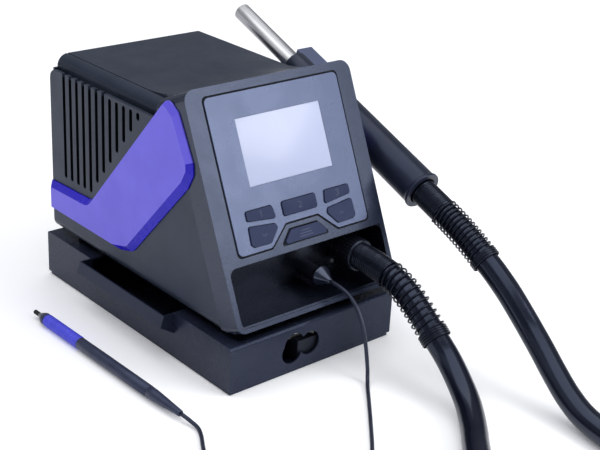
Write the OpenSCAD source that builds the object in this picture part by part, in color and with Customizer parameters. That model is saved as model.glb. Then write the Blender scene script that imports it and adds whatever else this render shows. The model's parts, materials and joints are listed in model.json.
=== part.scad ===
// Hot air station: a case with a sloping control front, standing on a low sheet-metal base box.
// The air handle lies in a cradle on the right side, and its hose comes back to a nut in the
// connection bay. A vacuum pick-up pen lies on the table on the left.
// Millimetres. The origin is on the table under the middle of the base, the front faces -Y, +Z is up.

/* [Base] */
// Width of the base box
base_w = 160; // [156:1:164]
// Depth of the base box
base_d = 250; // [248:1:256]
// Height of the top deck over the table
deck_z = 39; // [38:0.5:40]
// Thickness of the folded sheet
sheet = 1.5; // [1.2:0.1:1.8]

/* [Case] */
// Height of the top cover over the table
case_h = 192; // [190:1:194]
// Outer width of the side panels and of the front
case_w = 155; // [155:0.5:156]
// Lean of the front face from the vertical, in degrees
lean = 24; // [24:0.1:24.2]
// Depth of the front moulding, square to its face
front_depth = 45; // [44:1:46]
// Thickness of a side panel
panel_t = 3; // [2.6:0.1:3]
// Width of one vent slot
slot_w = 4; // [3:0.5:5]
// How far the side trim stands off its panel
trim_t = 3; // [2:0.5:4]

/* [Controls] */
// Width of the display glass
screen_w = 79; // [76:1:80]
// Height of the display glass
screen_h = 49.8; // [48:0.2:50]
// How far a button stands out of the face
button_proud = 1.8; // [1.4:0.1:2.2]
// Gap round a button
button_gap = 0.35; // [0.3:0.05:0.5]

/* [Handle] */
// Diameter of the grip
grip_d = 30; // [29:0.5:30]
// Length of the handle from the end of the grip to the mouth of the heater tube
handle_l = 244.5; // [240:0.5:250]
// Outer diameter of the heater tube
tube_d = 14.5; // [14:0.1:15]
// Outer diameter of the air hose
hose_d = 19; // [18:0.5:20]
// Outer diameter of the spring guards on the hose
guard_d = 22.4; // [22:0.2:23]

/* [Vacuum pen] */
// Length of the pen
pen_l = 190.5; // [190:0.5:191]
// Diameter of its grip
pen_d = 10; // [9.6:0.1:10]
// Diameter of the vacuum tube
vac_d = 3; // [3:0.1:3.2]

/* [Hidden] */

$fn = 48;
over = 1;                       // cuts run this far past the faces they open

// Front face frame: x to the right, y into the case, z up the slope
front_y = -153.5;               // where the face plane meets the table
front_foot = 56;                // lower edge of the front, measured up the slope
front_top = 231;                // upper edge of the front
seam = 20;                      // the side panels begin this far behind the face
plate_proud = 0.6;
plate_floor = 1.4;
wall = 3;

// Case
half_w = case_w / 2;
panel_back = 118;
cover_half = 67;                // the cover's side walls
cover_t = 2;
shoulder_r = 9.5;                 // left shoulder of the cover; the right one is tighter
right_r = 5;
right_x = 67.2;
shoulder_x = 61;
skirt_z = 179.3;
panel_top = 182.3;
open_slots = 7;
sweep_r = 120;                    // the top curves up to the front frame
pan_z = 46;                     // underside of the case
pan_top = pan_z + sheet;
feet = [[-60, -90], [60, -90], [-60, 95], [60, 95]];
bosses = [[108, 165], [108, 72], [20, 58], [-15, 165]];
back_y = 115.5;
back_bosses = [[-60.4, 66], [60.4, 66], [-60.4, 178], [60.4, 178]];

// Connection bay
bay_half = 73;
bay_floor = 54;
bay_roof = 93.7;
bay_back = -92;
bay_wall = 2;
hose_x = 50;
hose_z = 74;
nut_front = -117;
light_at = [43, 62.8];
vac_x = 15.5;
vac_z = 64.5;

// Base pocket and openings
pocket_y = [-57, 59];
cloud = [[-22, 18], [-20, 23.5], [-5, 20.5]];
cloud_r = 9.5;
nozzle_y = -112;
nozzle_z = 24;
plate_t = 3;
base_screw_at = [for (x = [-72, 72], y = [-116, 0, 116]) [x, y]];

// Handle frame: z along the handle from the end of its grip, y to the open side of the cradle
handle_at = [102, -126.5, 119];
handle_tilt = 21.4;
grip_end = 120;
shroud_end = 168;
cradle_s = [140, 181];
channel_r = 12.2;
low_wall_n = -6;
cradle_left = half_w - handle_at.x;
cradle_right = 28;
flange_n = [-40, -24];
screw_s = [151, 171];
screw_n = -34;

// Blower
blower_at = [45, 8, 106];
blower_r = 42;
blower_half = 18;
duct_r = 8;

// Outlines on the front face, counter-clockwise, x and distance up the slope
plate_outline = [
    [-62, 109], [-32, 109], [-15.5, 123.5], [15.5, 123.5], [32, 109], [62, 109], [62, 223.3],
    [-62, 223.3]
];
plate_radii = [4, 3, 2, 2, 3, 4, 4, 4];
screen_mid = 179.9;
one_outline = [[-49.2, 132], [-23.5, 129.3], [-25.3, 139], [-49.2, 139]];
two_outline = [[-16, 128.7], [16, 128.7], [16, 139.2], [-16, 139.2]];
down_outline = [
    [-50, 115], [-47.6, 113], [-32.2, 112.8], [-24, 122.1], [-25.3, 125.5], [-49.3, 128]
];
menu_outline = [[-21.5, 108.5], [21.5, 108.5], [12.8, 118], [-12.8, 118]];
one_mid = [-37, 134.5];
two_mid = [0, 134];
down_mid = [-37.5, 119.5];
menu_mid = [0, 113];

// Side outline of the trim, y and z
trim_outline = [
    [118, 62.5], [118, 87.5], [57, 89.5], [-44, 202.5], [-57, 195], [-75, 162], [-75.5, 154],
    [-69, 142], [0, 67], [17, 62.5]
];
trim_radii = [1, 1, 14, 7, 6, 7, 6, 10, 9, 12];

// Routes of the hose and the vacuum tube; the hose stops a hair short of the handle's guard
hose_gap = 0.1;
station_guard_route = [
    [50, -117, 74], [50, -122, 74], [50, -134, 73.2], [50, -151, 70.5], [50, -166, 65],
    [50, -178, 57.5], [50, -190, 48.5], [50, -202, 39]
];
hose_route = [
    [50, -202, 39], [50, -214, 29.5], [45, -231, 20], [36, -249, 13], [21, -268, 10],
    [4, -286, 9.5], [-14, -306, 9.5], [-33, -330, 9.5], [-50, -360, 9.5], [-62, -394, 9.5],
    [-68, -430, 9.5], [-62, -460, 9.5], [-45, -485, 9.5], [-20, -502, 9.5], [10, -508, 9.5],
    [40, -502, 9.5], [65, -485, 9.5], [82, -460, 9.5], [88, -430, 9.5], [87, -395, 9.5],
    [86, -362, 9.5], [88, -335, 9.5], [91.5, -309, 12], [95, -290, 18.6], [99.6, -272, 28],
    [102.8, -257, 38], [104.8, -242, 49], [105, -229, 60], [105, -217, 69.8],
    [105, -202.5, 79.8], [104.5, -195, 84.7]
];
handle_guard_route = [
    [104.5, -195, 84.7], [103.5, -180, 94.5], [102.5, -165, 103], [102, -150, 109.8],
    [102, -138, 114.5], [102, -126.5, 119]
];
vacuum_route = [
    [15.5, -122, 64.5], [15.6, -129, 64.1], [15.8, -136, 63], [16, -143, 60.6], [16, -148, 57],
    [16, -152.5, 52.5], [16, -157.5, 44.5], [16, -161, 36], [16, -163.5, 27.5], [16, -165.5, 18],
    [16, -167, 10], [15, -168.5, 5], [12.5, -171.5, 2.2], [8, -176.5, 1.5], [-4, -190.5, 1.5],
    [-20, -209, 1.5], [-43, -235, 1.5], [-58, -250, 1.5], [-75, -262, 1.5], [-92, -267, 1.5],
    [-105, -267, 2.5], [-112, -266, 4]
];
pen_route = [
    [-130, -228, 4], [-136, -216, 2.4], [-140, -203, 1.5], [-142, -190, 1.5], [-140, -177, 1.5],
    [-134.6, -166.8, 1.5], [-128, -156, 1.6], [-124, -147, 2], [-124, -140, 3], [-125, -134, 4.4],
    [-125.6, -129.4, 5]
];
coil_at = [-118, -246];
coil_r = 18;
coil_band = 4.5;
coil_z = [1, 7];

// Pen frame: z along the pen from its tip
pen_tip = [-129.9, 61.4, 5];
pen_turn = 1.29;

// --- Helpers ------------------------------------------------------------------------------------

function unit(v) = v / norm(v);

// Arc that rounds the corner b between a and c
function corner_arc(a, b, c, r, steps) =
    let (
        u = unit(a - b),
        v = unit(c - b),
        half = acos(u * v) / 2,
        centre = b + unit(u + v) * r / sin(half),
        p = b + u * r / tan(half) - centre,
        q = b + v * r / tan(half) - centre,
        from = atan2(p.y, p.x),
        turn = ((atan2(q.y, q.x) - from + 540) % 360) - 180
    )
    [for (i = [0:steps]) centre + r * [cos(from + turn * i / steps), sin(from + turn * i / steps)]];

// Outline with its corners rounded, by one radius or by a list of them
function rounded(points, r, steps = 5) =
    let (n = len(points))
    [for (i = [0:n - 1]) each corner_arc(
        points[(i + n - 1) % n], points[i], points[(i + 1) % n], is_list(r) ? r[i] : r, steps
    )];

// Counter-clockwise outline moved outward by d
function edge_normal(a, b) = unit([b.y - a.y, a.x - b.x]);
function grown(points, d) =
    let (n = len(points))
    [for (i = [0:n - 1])
        let (
            m = edge_normal(points[(i + n - 1) % n], points[i]),
            k = edge_normal(points[i], points[(i + 1) % n])
        )
        points[i] + (m + k) * d / (1 + m * k)];

function arc(centre, r, from, to, steps = 8) =
    [for (i = [0:steps]) let (a = from + (to - from) * i / steps) centre + r * [cos(a), sin(a)]];

// Tube of a round section that follows a route of points
function route_way(p, i) = unit(p[min(i + 1, len(p) - 1)] - p[max(i - 1, 0)]);
function cut_short(p, d) =
    let (last = len(p) - 1)
    [for (i = [0:last]) i < last ? p[i] : p[i] - d * unit(p[last] - p[last - 1])];
function ring(p, i, r, sides) =
    let (
        way = route_way(p, i),
        side = unit(cross(abs(way.z) > 0.9 ? [1, 0, 0] : [0, 0, 1], way)),
        up = cross(way, side)
    )
    [for (k = [0:sides - 1]) p[i] + r * (side * cos(360 * k / sides) + up * sin(360 * k / sides))];

module swept(p, d, sides) {
    rings = len(p);
    points = [for (i = [0:rings - 1]) each ring(p, i, d / 2, sides)];
    walls = [for (i = [0:rings - 2], k = [0:sides - 1])
        let (a = i * sides + k, b = i * sides + (k + 1) % sides) [a, a + sides, b + sides, b]];
    near = [for (k = [0:sides - 1]) k];
    far = [for (k = [sides - 1:-1:0]) (rings - 1) * sides + k];
    polyhedron(points, concat(walls, [near, far]), convexity = 8);
}

// A flat outline of x and z, thick along y
module slab(y0, y1) {
    translate([0, y1, 0]) rotate([90, 0, 0]) linear_extrude(y1 - y0, convexity = 6) children();
}

// A flat outline of y and z, thick along x
module side_slab(x0, x1) {
    translate([x0, 0, 0]) rotate([90, 0, 90]) linear_extrude(x1 - x0, convexity = 6) children();
}

module in_front() {
    translate([0, front_y, 0]) rotate([-lean, 0, 0]) children();
}

module front_slab(y0, y1) {
    in_front() slab(y0, y1) children();
}

// Everything less than y deep behind the face plane
module before_face(y) {
    in_front() translate([-150, -200, -50]) cube([300, 200 + y, 400]);
}

module rounded_box2(x0, z0, x1, z1, r) {
    polygon(rounded([[x0, z0], [x1, z0], [x1, z1], [x0, z1]], r, 6));
}

// Cylinder along y
module rod_y(x, z, y0, y1, r) {
    translate([x, y0, z]) rotate([-90, 0, 0]) cylinder(h = y1 - y0, r = r);
}

// Cylinder along x
module rod_x(y, z, x0, x1, r) {
    translate([x0, y, z]) rotate([0, 90, 0]) cylinder(h = x1 - x0, r = r);
}

module box(low, high) {
    translate(low) cube(high - low);
}

module along_handle() {
    translate(handle_at) rotate([handle_tilt - 90, 0, 0]) mirror([0, 1, 0]) children();
}

module along_pen() {
    translate(pen_tip) rotate([90, 0, pen_turn]) children();
}

// --- Base ---------------------------------------------------------------------------------------

module base_box() {
    x = base_w / 2;
    y = base_d / 2;
    color("#26272e") difference() {
        union() {
            difference() {
                side_slab(-x, x) polygon(rounded(
                    [[-y, plate_t], [y, plate_t], [y, deck_z], [-y, deck_z]], [0.4, 0.4, 1.5, 3]
                ));
                box([sheet - x, sheet - y, plate_t - over], [x - sheet, y - sheet, deck_z - sheet]);
            }
            slab(pocket_y[0], pocket_y[1]) polygon(
                [[-x + sheet, 21], [-x - 12.6, 30], [-x - 9.7, deck_z], [-x + sheet, deck_z]]
            );
            difference() {
                box([0.5 - x, 0.5 - y, plate_t], [x - 0.5, y - 0.5, plate_t + sheet]);
                box([10 - x, 12 - y, 0], [x - 10, y - 12, 2 * plate_t]);
            }
            for (at = base_screw_at)
                translate([at.x, at.y, plate_t]) cylinder(h = 6, r = 3.5);
        }
        slab(pocket_y[0] + sheet, pocket_y[1] - sheet) polygon([
            [-x + sheet + over, 22.6], [-x + sheet, 23.2], [-x - 10.9, 31],
            [-x - 8, deck_z + over], [-x + 14, deck_z + over], [-x + 14, 22.6]
        ]);
        slab(-y - over, sheet - y + over) for (c = cloud) translate(c) circle(cloud_r);
        for (at = base_screw_at) translate([at.x, at.y, 0]) cylinder(h = 8, r = 1.5);
        for (at = feet) translate([at.x, at.y, deck_z - 2 * sheet]) cylinder(h = 6, r = 2.1);
    }
}

module base_plate() {
    x = base_w / 2 - sheet;
    y = base_d / 2 - sheet;
    color("#17181c") difference() {
        box([-x, -y, 0], [x, y, plate_t]);
        for (at = base_screw_at) translate([at.x, at.y, -over]) {
            cylinder(h = 2 * plate_t, r = 1.6);
            cylinder(h = over + plate_t / 2, r = 3);
        }
    }
}

module base_screws() {
    color("#3c3d42") for (at = base_screw_at) translate(at) {
        translate([0, 0, 0.1]) cylinder(h = plate_t / 2 - 0.1, r = 2.8);
        cylinder(h = 7.5, r = 1.45);
    }
}

// The spare nozzle lies along x: mouth tube, cone and collar
module nozzle_shape(gap) {
    translate([-24, nozzle_y, nozzle_z]) rotate([0, 90, 0]) rotate_extrude() polygon([
        [0, -gap], [4 + gap, -gap], [4 + gap, 22 - gap], [8.2 + gap, 27 - gap],
        [8.2 + gap, 41 + gap], [0, 41 + gap]
    ]);
}

module spare_nozzle() {
    color("silver") difference() {
        nozzle_shape(0);
        rod_x(nozzle_y, nozzle_z, -25, 0, 3.3);
        rod_x(nozzle_y, nozzle_z, 3, 18, 7.3);
        rod_x(nozzle_y, nozzle_z, -2, 4, 3.3);
    }
}

module nozzle_rack() {
    color("#202126") difference() {
        union() {
            box([-14, nozzle_y - 10, plate_t + sheet], [20, nozzle_y + 10, nozzle_z - 1]);
            box([-14, 12.2 - base_d / 2, plate_t], [20, nozzle_y + 10, nozzle_z - 1]);
        }
        nozzle_shape(0.15);
    }
}

// --- Case shell ---------------------------------------------------------------------------------

module chassis() {
    x = 72;
    color("#8d9096") difference() {
        union() {
            box([-x, -119, pan_z], [x, 116, pan_top]);
            for (s = [-1, 1]) translate([s * (x - sheet / 2), 0, 0])
                box([-sheet / 2, -74, pan_z], [sheet / 2, 116, 61]);
            for (at = feet) translate([at.x, at.y, pan_z]) cylinder(h = 5, r = 4);
        }
        for (at = feet) translate([at.x, at.y, pan_z - over]) cylinder(h = 8, r = 1.95);
    }
}

module case_feet() {
    color("#101114") for (at = feet) translate([at.x, at.y, deck_z]) difference() {
        cylinder(h = pan_z - deck_z, r = 7);
        translate([0, 0, -over]) cylinder(h = pan_z, r = 2.1);
    }
}

module foot_screws() {
    color("#3c3d42") for (at = feet) translate(at) {
        translate([0, 0, deck_z - sheet - 2.5]) cylinder(h = 2.5, r = 3.6);
        translate([0, 0, deck_z - sheet - 1]) cylinder(h = pan_z - deck_z + 8, r = 1.9);
    }
}

// Section of the space inside the cover, made smaller by gap
module cover_inside(gap) {
    r = shoulder_r - cover_t - gap;
    top = case_h - cover_t - gap;
    polygon(concat(
        [[-cover_half + cover_t + gap, pan_top], [cover_half - cover_t - gap, pan_top]],
        [[cover_half - cover_t - gap, top - 3]],
        arc([shoulder_x, case_h - shoulder_r], r, 55, 90),
        arc([-shoulder_x, case_h - shoulder_r], r, 90, 125),
        [[-cover_half + cover_t + gap, top - 3]]
    ));
}

module cover_section() {
    difference() {
        union() {
            translate([-cover_half, pan_top]) square([2 * cover_half, skirt_z - pan_top + over]);
            polygon(concat(
                [[-shoulder_x - shoulder_r, skirt_z], [right_x + right_r, skirt_z]],
                arc([right_x, case_h - right_r], right_r, 0, 90),
                arc([-shoulder_x, case_h - shoulder_r], shoulder_r, 90, 180)
            ));
        }
        cover_inside(0);
    }
}

// Concave rise from the cover's top to the slope of the front frame
module sweep_up() {
    depth = (front_top * cos(lean) - case_h) / sin(lean);
    sweep_y = front_y + front_top * sin(lean) + depth * cos(lean);
    start = sweep_y + sweep_r * tan(lean / 2);
    side_slab(-shoulder_x + 0.5, right_x) polygon(concat(
        [for (i = [0:8]) let (a = lean * i / 8)
            [start - sweep_r * sin(a), case_h + sweep_r * (1 - cos(a))]],
        [[sweep_y, case_h - 1.2], [start, case_h - 1.2]]
    ));
}

module top_cover() {
    color("#2c2d34") difference() {
        union() {
            slab(-60, panel_back) cover_section();
            sweep_up();
            for (x = [[-half_w + panel_t + 0.2, -70], [72, half_w - panel_t - 0.2]])
                box([x[0], panel_back - 2.5, skirt_z], [x[1], panel_back, panel_top]);
            for (b = back_bosses) rod_y(b.x, b.y, 100, back_y, 4.7);
        }
        before_face(front_depth);
        for (b = back_bosses) rod_y(b.x, b.y, 99, panel_back, 1.5);
        box([-shoulder_x - 0.5, -60, case_h - 0.5], [0.5 - shoulder_x, panel_back + over, case_h + 6]);
    }
}

// Right-hand side panel section, inset from its outer face by gap
function panel_path(gap) = concat(
    arc([half_w - 8.5, 53], 8.5 - gap, -50, 0), [[half_w - gap, panel_top]]
);

module panel_shell() {
    inner = panel_path(panel_t);
    intersection() {
        slab(-140, panel_back)
            polygon(concat(panel_path(0), [for (i = [len(inner) - 1:-1:0]) inner[i]]));
        side_slab(0, half_w + over) polygon(rounded(
            [[-140, 40], [panel_back, 40], [panel_back, panel_top], [-140, panel_top]],
            [1, 1, 8, 1]
        ));
    }
}

// The rear vent slots are open at the top, and the front ones are short and closed
module vent_slots(count) {
    for (i = [0:count - 1]) {
        y = 97.3 - 9.35 * i;
        low = max(95.4, 174 - 11.2 * (11 - i)) + slot_w / 2;
        high = i < open_slots ? case_h : panel_top - 2 - slot_w / 2;
        for (z = [low, high]) rod_x(y, z, cover_half + over, half_w + over, slot_w / 2);
        box([cover_half + over, y - slot_w / 2, low], [half_w + over, y + slot_w / 2, high]);
    }
}

module side_panel(slots) {
    difference() {
        union() {
            panel_shell();
            for (b = bosses) rod_x(b.x, b.y, b.y < 61 ? 72 : cover_half, half_w - 1, 4);
            box([cover_half, panel_back - 9, 168], [half_w - 2, panel_back, 179]);
        }
        before_face(seam);
        vent_slots(slots);
    }
}

module side_panel_left() {
    color("#26272e") mirror([1, 0, 0]) side_panel(12);
}

module side_panel_right() {
    color("#26272e") difference() {
        union() {
            side_panel(5);
            cradle_fixings(cover_half + 0.5, half_w - 1, 5);
        }
        cradle_fixings(cover_half, half_w + over, 1.95);
    }
}

module trim() {
    side_slab(half_w, half_w + trim_t) polygon(rounded(trim_outline, trim_radii));
}

module trim_left() {
    color("#5a4fd0") mirror([1, 0, 0]) trim();
}

module trim_right() {
    color("#5a4fd0") trim();
}

// --- Back ---------------------------------------------------------------------------------------

inlet_low = [-50, 62];
inlet_high = [-22, 90];
switch_mid = [28, 74];

module back_panel() {
    color("#2c2d34") difference() {
        slab(back_y, back_y + 2) cover_inside(0.2);
        for (b = back_bosses) rod_y(b.x, b.y, back_y - over, panel_back, 1.7);
        slab(back_y - over, panel_back) {
            translate(inlet_low + [0.8, 0.8]) square(inlet_high - inlet_low - [1.6, 1.6]);
            translate(switch_mid - [7.2, 12.2]) square([14.4, 24.4]);
            for (i = [0:8]) translate([-34, 112 + 7 * i]) square([68, 3]);
        }
    }
}

module back_screws() {
    color("#3c3d42") for (b = back_bosses) {
        rod_y(b.x, b.y, back_y + 2, back_y + 3.8, 2.9);
        rod_y(b.x, b.y, 102, back_y + 3, 1.45);
    }
}

// Mains inlet with a drawer for the fuse above the pins
module mains_inlet() {
    color("#121316") difference() {
        union() {
            box([-49, 92, 63], [-23, back_y + 3, 89]);
            box([-52, back_y + 2, 60], [-20, back_y + 4, 92]);
        }
        box([-46.5, 98, 65], [-25.5, 125, 78]);
        box([-44, 97, 81], [-28, 125, 87.5]);
    }
    color("silver") for (x = [-41, -36, -31]) box([x - 1, 90, 67], [x + 1, 112, 71]);
}

module fuse_drawer() {
    color("#1a1b1f") {
        box([-43.8, 98, 81.2], [-28.2, back_y + 4.6, 87.3]);
        box([-41, back_y + 4, 83], [-31, back_y + 6, 85]);
    }
}

module power_switch_frame() {
    color("#121316") difference() {
        union() {
            box([21, 98, 62], [35, back_y + 3, 86]);
            box([18.5, back_y + 2, 59.5], [37.5, back_y + 3.8, 88.5]);
        }
        box([22.5, 100, 63.4], [33.5, 125, 84.6]);
        rod_x(110, switch_mid.y, 20, 36, 1.55);
    }
}

module power_rocker() {
    color("#b32424") {
        side_slab(22.9, 33.1) translate([110, switch_mid.y])
            polygon([[-5, -4], [3, -9.4], [9.5, -8.6], [7.6, 0], [9.5, 8.6], [3, 9.4], [-5, 4]]);
        rod_x(110, switch_mid.y, 21.2, 34.8, 1.5);
    }
}

// --- Front --------------------------------------------------------------------------------------

module front_outline(x, low, high) {
    polygon(rounded([[-x, low], [x, low], [x, high], [-x, high]], [7, 7, 9, 9], 6));
}

module bezel_shell() {
    front_slab(0, seam) front_outline(half_w, front_foot, front_top);
    front_slab(seam - over, front_depth) front_outline(half_w - 5.4, front_foot, front_top);
}

module bezel_hollow() {
    front_slab(wall, seam - wall)
        front_outline(half_w - wall, front_foot + wall, front_top - wall);
    front_slab(wall, front_depth + over)
        front_outline(half_w - 8.4, front_foot + wall, front_top - wall);
}

module bay_block() {
    intersection() {
        box([-74.2, -140, bay_floor - bay_wall], [74.2, bay_back + bay_wall, bay_roof + bay_wall]);
        front_slab(1, 100) front_outline(half_w, front_foot, front_top);
    }
}

module bay_space() {
    difference() {
        box([-bay_half, -150, bay_floor], [bay_half, bay_back, bay_roof]);
        before_face(wall - 0.1);
    }
    front_slab(-over, wall) rounded_box2(-bay_half, 59, bay_half, 102.5, 6);
}

module button_holes(y0, y1) {
    front_slab(y0, y1) {
        for (s = [0, 1]) mirror([s, 0, 0]) {
            polygon(rounded(grown(one_outline, button_gap), 1.8));
            polygon(rounded(grown(down_outline, button_gap), 1.8));
        }
        polygon(rounded(grown(two_outline, button_gap), 1.8));
        polygon(rounded(grown(menu_outline, button_gap), 1.8));
    }
}

module bezel() {
    color("#2a2b32") difference() {
        union() {
            difference() {
                bezel_shell();
                bezel_hollow();
            }
            bay_block();
            intersection() {
                sweep_up();
                before_face(front_depth);
            }
            for (x = [-55.5, 55.5], w = [112, 140])
                in_front() rod_y(x, w, wall - 0.5, 9, 2.5);
        }
        bay_space();
        box([-90, -160, 0], [90, 60, pan_top]);
        front_slab(-over, plate_floor) polygon(rounded(grown(plate_outline, 1.4), plate_radii));
        front_slab(0, wall + over)
            rounded_box2(-38, screen_mid - 23.4, 38, screen_mid + 23.4, 1);
        button_holes(-over, wall + over);
        rod_y(hose_x, hose_z, bay_back - over, bay_back + 2 * bay_wall, duct_r + 0.2);
        rod_y(vac_x, vac_z, bay_back - over, bay_back + 2 * bay_wall, 3.1);
        rod_y(light_at.x, light_at.y, bay_back - over, bay_back + 2 * bay_wall, 1.6);
    }
}

module face_plate() {
    color("#474a57") difference() {
        front_slab(-plate_proud, plate_floor) polygon(rounded(plate_outline, plate_radii));
        front_slab(-2, 2) translate([-screen_w / 2, screen_mid - screen_h / 2])
            square([screen_w, screen_h]);
        button_holes(-2, 2);
    }
}

module display_window() {
    color("#d3d8ee") front_slab(-0.4, plate_floor)
        translate([0.1 - screen_w / 2, 0.1 + screen_mid - screen_h / 2])
            square([screen_w - 0.2, screen_h - 0.2]);
}

module display_module() {
    color("#59606b") front_slab(wall + 0.05, 10)
        translate([-43, screen_mid - 29]) square([86, 58]);
}

module button_board() {
    color("#1f5a37") front_slab(9, 10.6) translate([-59, 109.8]) square([118, 33]);
    color("#c8c9cc") for (at = [one_mid, two_mid, down_mid, menu_mid], s = [-1, 1])
        if (s > 0 || at.x != 0)
            front_slab(7.8, 9) translate([s * at.x - 3, at.y - 2.5]) square([6, 5]);
}

// Cap, side tabs that stop it behind the front wall, and the stem that works the switch
module button(outline, mid, tab) {
    color("#3a3d48") {
        front_slab(-button_proud, 4.2) polygon(rounded(outline, 1.6));
        front_slab(wall + 0.1, 4.2) translate(mid - [tab, 1.7]) square([2 * tab, 3.4]);
        in_front() rod_y(mid.x, mid.y, 4, 6.6, 2);
    }
}

module button_one() { button(one_outline, one_mid, 13.6); }
module button_two() { button(two_outline, two_mid, 17.2); }
module button_three() { mirror([1, 0, 0]) button(one_outline, one_mid, 13.6); }
module button_down() { button(down_outline, down_mid, 13.4); }
module button_up() { mirror([1, 0, 0]) button(down_outline, down_mid, 13.4); }
module button_menu() { button(menu_outline, menu_mid, 19.2); }

module status_light() {
    color("white") {
        rod_y(light_at.x, light_at.y, bay_back - 1.2, bay_back + 5, 1.5);
        rod_y(light_at.x, light_at.y, bay_back + bay_wall, bay_back + bay_wall + 1.5, 2.2);
    }
}

// --- Inside the case ----------------------------------------------------------------------------

module main_board() {
    color("#1f5a37") box([-58, 20, 54], [18, 98, 55.6]);
    color("#9a9ca2") for (x = [-54, 14], y = [24, 94]) translate([x, y, pan_top])
        cylinder(h = 54 - pan_top, r = 3);
    color("#3a3c44") {
        box([-16, 26, 55.6], [-4, 38, 59.2]);
        box([2, 58, 55.6], [14, 88, 62]);
        for (x = [-50, -36]) translate([x, 30, 55.6]) cylinder(h = 22, r = 6);
    }
    color("#b8bbc0") for (i = [0:4]) box([-2 + 4 * i, 24, 55.6], [-0.4 + 4 * i, 50, 84]);
}

module transformer() {
    color("#77706a") box([-53, 44, 55.6], [-7, 82, 93]);
    color("#b06a35") box([-44, 38, 60], [-16, 88, 88]);
}

// Centrifugal blower: drum, outlet along -Y at the bottom, inlet in the right side, feet
module blower_housing() {
    color("#1b1c20") difference() {
        union() {
            rod_x(blower_at.y, blower_at.z, blower_at.x - blower_half, blower_at.x + blower_half,
                blower_r);
            rod_y(hose_x, hose_z, -54, blower_at.y, duct_r + 0.1);
            box([36, blower_at.y - 14, pan_top], [56, blower_at.y + 14, 68]);
        }
        rod_x(blower_at.y, blower_at.z, blower_at.x - blower_half + 2,
            blower_at.x + blower_half - 2, blower_r - 2);
        rod_x(blower_at.y, blower_at.z, blower_at.x, blower_at.x + blower_half + over, 20);
        rod_y(hose_x, hose_z, -55, blower_at.y - 8, duct_r - 1.6);
    }
}

module blower_motor() {
    color("#6f7278") {
        rod_x(blower_at.y, blower_at.z, blower_at.x - blower_half + 2, 50, 14);
        rod_x(blower_at.y, blower_at.z, 49, 60, 2);
    }
}

module blower_impeller() {
    color("#d9dadd") difference() {
        union() {
            rod_x(blower_at.y, blower_at.z, 52.5, 54.5, 35);
            rod_x(blower_at.y, blower_at.z, 52.5, 59, 6);
            translate([32, blower_at.y, blower_at.z]) rotate([0, 90, 0]) difference() {
                cylinder(h = 2, r = 35);
                translate([0, 0, -over]) cylinder(h = 4, r = 24);
            }
            for (k = [0:11]) translate([0, blower_at.y, blower_at.z]) rotate([30 * k, 0, 0])
                translate([32, 24, 0]) rotate([35, 0, 0]) cube([21, 10.5, 1.2]);
        }
        rod_x(blower_at.y, blower_at.z, 50, 60, 2.05);
    }
}

module air_duct() {
    color("#a3262b") difference() {
        rod_y(hose_x, hose_z, -85, -37, duct_r + 2.2);
        rod_y(hose_x, hose_z, -86, -36, duct_r + 0.15);
    }
}

// --- Air connection -----------------------------------------------------------------------------

module hose_port() {
    color("#5a5d63") difference() {
        union() {
            rod_y(hose_x, hose_z, nut_front + 0.5, -68, duct_r);
            rod_y(hose_x, hose_z, bay_back + bay_wall, bay_back + bay_wall + 2.5, 10.5);
        }
        rod_y(hose_x, hose_z, nut_front - over, -67, duct_r - 1.6);
    }
}

module hose_nut() {
    color("#111216") difference() {
        union() {
            rod_y(hose_x, hose_z, nut_front, bay_back - 8, 13);
            rod_y(hose_x, hose_z, bay_back - 8 - over, bay_back, 10);
        }
        rod_y(hose_x, hose_z, nut_front - over, bay_back + over, duct_r + 0.05);
    }
}

module hose_guard_station() {
    color("#111216") swept(station_guard_route, guard_d, 12);
}

module hose() {
    color("#15161d") swept(cut_short(hose_route, hose_gap), hose_d, 12);
}

module hose_guard_handle() {
    color("#111216") swept(handle_guard_route, guard_d, 12);
}

// --- Cradle on the right panel ------------------------------------------------------------------

module cradle_fixings(x0, x1, r) {
    along_handle() for (s = screw_s) translate([x0 - handle_at.x, screw_n, s])
        rotate([0, 90, 0]) cylinder(h = x1 - x0, r = r);
}

module cradle() {
    outline = [
        [cradle_left, -26], [cradle_right - 14, -26], [cradle_right, -14], [cradle_right, 3],
        [channel_r, 3], [channel_r, low_wall_n], [cradle_left, low_wall_n]
    ];
    color("#26272e") difference() {
        along_handle() difference() {
            union() {
                translate([0, 0, cradle_s[0]]) linear_extrude(cradle_s[1] - cradle_s[0])
                    polygon(outline);
                translate([cradle_left, 0, 0]) rotate([90, 0, 90]) linear_extrude(6)
                    polygon(rounded([
                        [flange_n[0], cradle_s[0]], [flange_n[1], cradle_s[0]],
                        [flange_n[1], cradle_s[1]], [flange_n[0], cradle_s[1]]
                    ], [6, 0.5, 0.5, 6]));
            }
            translate([0, 0, cradle_s[0] - over]) cylinder(h = 50, r = channel_r);
        }
        cradle_fixings(half_w - over, half_w + 7, 2.15);
    }
}

module cradle_liner() {
    color("#101114") along_handle() translate([0, 0, cradle_s[0] + 1])
        linear_extrude(cradle_s[1] - cradle_s[0] - 2) difference() {
            circle(channel_r);
            circle(11.3);
            translate([0, -0.5]) square([20, 20]);
            translate([-20, low_wall_n - 0.5]) square([20, 40]);
        }
}

module cradle_screws() {
    color("#3c3d42") {
        cradle_fixings(half_w + 6, half_w + 8.5, 3.5);
        cradle_fixings(cover_half + 2, half_w + 6.5, 1.9);
    }
}

// --- Air handle ---------------------------------------------------------------------------------

module turned(profile) {
    along_handle() rotate_extrude() polygon(profile);
}

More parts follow.
